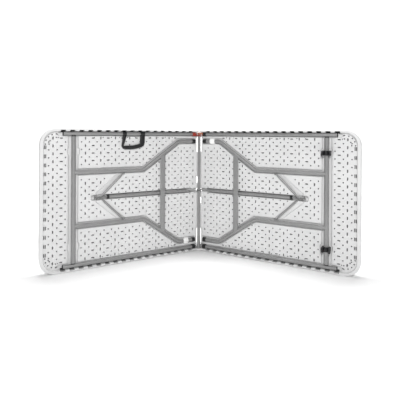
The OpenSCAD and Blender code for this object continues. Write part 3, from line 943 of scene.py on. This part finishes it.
def moulded(name, colour, rough=(0.36, 0.52)):
    high = tuple(min(1.0, c * 1.25 + 0.004) for c in colour)
    p = Paint(name, (colour, high), rough)
    p.over(p.ramp(p.noise(160, 7, 1.0), [(0.64, 0.0), (0.72, 1.0)]),
           tuple(min(1.0, c * 1.6 + 0.02) for c in colour), 0.4)
    p.bump(p.grain(1500), 0.12, 0.0004)
    return p.done()


def plated(name, tone):
    p = Paint(name, (tone * 0.9, tone * 1.05), (0.26, 0.42), metallic=0.9)
    p.over(p.ramp(p.noise(260, 5), [(0.6, 0.0), (0.7, 1.0)]), tone * 0.55, 0.5)
    p.bump(p.noise(900, 3), 0.1, 0.0003)
    return p.done()


PANEL = panel_plastic()
GREY = powder_coat("grey_powder_coat", 0.29)
PALE_GREY = powder_coat("grey_powder_coat_pale", 0.30, (0.40, 0.52))
BRIGHT_GREY = powder_coat("grey_powder_coat_bright", 0.30)
BLACK = moulded("black_moulded", (0.005, 0.005, 0.006))
RED = moulded("red_moulded", (0.30, 0.030, 0.018))
DEEP_RED = moulded("red_moulded_deep", (0.20, 0.022, 0.014))
ORANGE = moulded("cap_moulded", (0.32, 0.11, 0.06))
WHITE = moulded("white_moulded", (0.80, 0.80, 0.79))
STEEL = plated("rivet_plated", 0.42)

FINISH = {
    "panel": PANEL, "grey_frame": GREY, "black_plastic": BLACK, "red_plastic": RED,
    "white_plastic": WHITE, "rivet_steel": STEEL,
}
SPECIAL = {"centre_tube_caps": ORANGE}
for name, piece in nodes.items():
    for k in range(len(piece.material_slots)):
        finish = FINISH[piece.material_slots[k].material.name.split(".")[0]]
        if name.endswith("cross_bar"):
            finish = PALE_GREY
        if "_brace_" in name and finish is GREY:
            finish = BRIGHT_GREY
        piece.material_slots[k].material = SPECIAL.get(name, finish)

# ---------- pieces ----------

panel_data = moulding_mesh()
for side, place in HALVES.items():
    finish_mesh(
        f"{side}_half_moulding", panel_data.copy(), place, f"{side}_half", PANEL,
        [f"{side}_panel"],
    )
panel_data.free()


def add(name, mesh, side, body, material, replaces):
    finish_mesh(name, mesh, HALVES[side], body, material, replaces)


add("handle_piece", handle_mesh(), "left", "handle", BLACK, ["handle"])
add("clips_piece", clips_mesh(), "right", "right_half", BLACK,
    ["closing_clips"])
add("lock_button_piece", sleeves_mesh([RAIL_Z], 4), "left", "lock_button", RED,
    ["lock_button"])
add("left_sleeve_piece", sleeves_mesh([W - RAIL_Z], 0), "left", "left_half",
    BLACK, ["left_end_sleeve"])
add("right_sleeve_pieces", sleeves_mesh([RAIL_Z, W - RAIL_Z], 0), "right", "right_half",
    BLACK, ["right_end_sleeves"])
add("lock_knuckle_piece", knuckle_mesh(LOW_KNUCKLE_Z, RAIL_Z), "left", "left_half",
    DEEP_RED, ["lock_knuckle"])
add("left_lower_knuckle_piece", knuckle_mesh(HIGH_KNUCKLE_Z, W - RAIL_Z), "left",
    "left_half", GREY, ["left_lower_knuckle"])
add("right_lower_knuckle_piece", knuckle_mesh(LOW_KNUCKLE_Z, RAIL_Z), "right", "right_half",
    GREY, ["right_knuckles"])
add("right_upper_knuckle_piece", knuckle_mesh(HIGH_KNUCKLE_Z, W - RAIL_Z), "right",
    "right_half", ORANGE, ["right_knuckles"])
for side in HALVES:
    half, leg = f"{side}_half", f"{side}_leg"
    add(f"{side}_foot_cap_pieces", foot_caps_mesh(), side, leg, BLACK,
        [f"{side}_foot_caps"])
    add(f"{side}_leg_sleeve_piece", leg_sleeve_mesh(), side, leg, WHITE,
        [f"{side}_leg_sleeve"])
    add(f"{side}_rail_cap_pieces", rail_caps_mesh(), side, half, BLACK,
        [f"{side}_rail_caps"])
    add(f"{side}_lock_ring_piece", lock_ring_mesh(), side, f"{side}_lock_ring",
        BLACK, [f"{side}_lock_ring"])
    add(f"{side}_strut_piece", strut_mesh(), side, f"{side}_strut", GREY,
        [f"{side}_strut"])
    for where, flip in (("upper", side == "left"), ("lower", side == "right")):
        add(f"{side}_brace_{where}_piece", brace_mesh(flip), side, f"{side}_brace",
            BRIGHT_GREY, [f"{side}_brace_{where}"])

# ---------- floor, light and camera ----------


def cove():
    """A pale floor that curves up into a pale backdrop."""
    mesh = bmesh.new()
    radius, back, top, side = 1.2, HINGE_Y + 1.6, 4.0, 6.0
    line = [(-5.0, 0.0), (back - 0.01, 0.0)]
    line += [(back + radius * math.sin(a), radius * (1 - math.cos(a)))
             for a in np.linspace(0.1, math.pi / 2, 12)]
    line.append((back + radius, top))
    rows = [[mesh.verts.new((x, y, z)) for x in (-side, side)] for y, z in line]
    for a, b in zip(rows, rows[1:]):
        mesh.faces.new([a[0], a[1], b[1], b[0]])
    for f in mesh.faces:
        f.smooth = True
    data = bpy.data.meshes.new("studio_floor")
    mesh.to_mesh(data)
    mesh.free()
    floor = bpy.data.objects.new("studio_floor", data)
    bpy.context.scene.collection.objects.link(floor)
    p = Paint("studio_paper", (0.90, 0.92), (0.7, 0.8))
    data.materials.append(p.done())


def soft_light(name, place, aim, size, power, beam=180):
    data = bpy.data.lights.new(name, "AREA")
    data.shape = "ELLIPSE"
    data.size, data.size_y = size
    data.spread = math.radians(beam)
    data.energy = power
    lamp = bpy.data.objects.new(name, data)
    bpy.context.scene.collection.objects.link(lamp)
    lamp.location = place
    lamp.rotation_euler = (Vector(aim) - Vector(place)).to_track_quat("-Z", "Y").to_euler()


cove()
soft_light("key", (0.0, -2.6, 1.75), (0, 0, 0.4), (0.5, 0.5), 49)
soft_light("top", (0, 0.55, 4.4), (0, 0.1, 0), (4.4, 0.9), 155)
soft_light("backdrop", (0, 1.5, 3.3), (0, 2.9, 0.9), (7.0, 1.6), 66, 110)

world = bpy.data.worlds.new("studio")
world.use_nodes = True
world.node_tree.nodes["Background"].inputs["Color"].default_value = (1, 1, 1, 1)
world.node_tree.nodes["Background"].inputs["Strength"].default_value = 0.20
bpy.context.scene.world = world
bpy.context.scene.view_settings.view_transform = "Standard"

EYE_HEIGHT = 0.715
EYE_DISTANCE = 2.145
EYE_ASIDE = -0.037
EYE_ROLL = math.radians(0.32)
HORIZON = 0.165
ASIDE_SHIFT = 0.017
LENS = 31.41
camera_data = bpy.data.cameras.new("camera")
camera_data.sensor_width = 36.0
camera_data.lens = LENS
camera_data.shift_y = -HORIZON
camera_data.shift_x = ASIDE_SHIFT
camera = bpy.data.objects.new("camera", camera_data)
bpy.context.scene.collection.objects.link(camera)
camera.matrix_world = (
    Matrix.Translation((EYE_ASIDE, HINGE_Y - EYE_DISTANCE, EYE_HEIGHT))
    @ Matrix.Rotation(math.pi / 2, 4, "X")
    @ Matrix.Rotation(EYE_ROLL, 4, "Z")
)
bpy.context.scene.camera = camera
